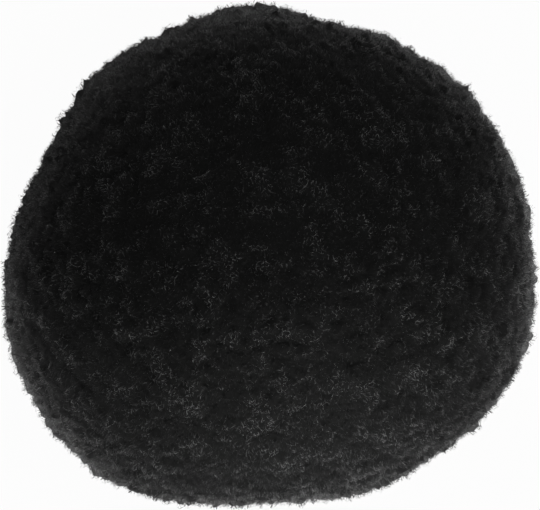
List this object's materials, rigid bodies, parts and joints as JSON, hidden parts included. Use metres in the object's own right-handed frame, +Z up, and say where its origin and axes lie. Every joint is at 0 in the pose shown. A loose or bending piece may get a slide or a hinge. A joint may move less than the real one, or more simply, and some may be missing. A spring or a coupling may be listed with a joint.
{
  "type": "craft pom-pom",
  "caption": "Soft round ball of dense black fibre pile, tied round its hidden middle with a knotted cord, slightly lobed, with a small flat spot to rest on or be glued by.",
  "frame": {"origin": "centre of the flat spot that the ball rests on", "axes": "+Z up through the ball and along the tied bundle, +X to the picture's right, +Y towards the picture's top"},
  "size_m": [0.0494, 0.0465, 0.0462],
  "materials": {
    "pile": "dense cut acrylic fibre, dyed black, matt, with a paler bloom at the edge",
    "tie": "twisted cord, dyed black"
  },
  "bodies": {
    "root": {"fibre_pile": "pile", "centre_tie": "tie"}
  },
  "joints": []
}
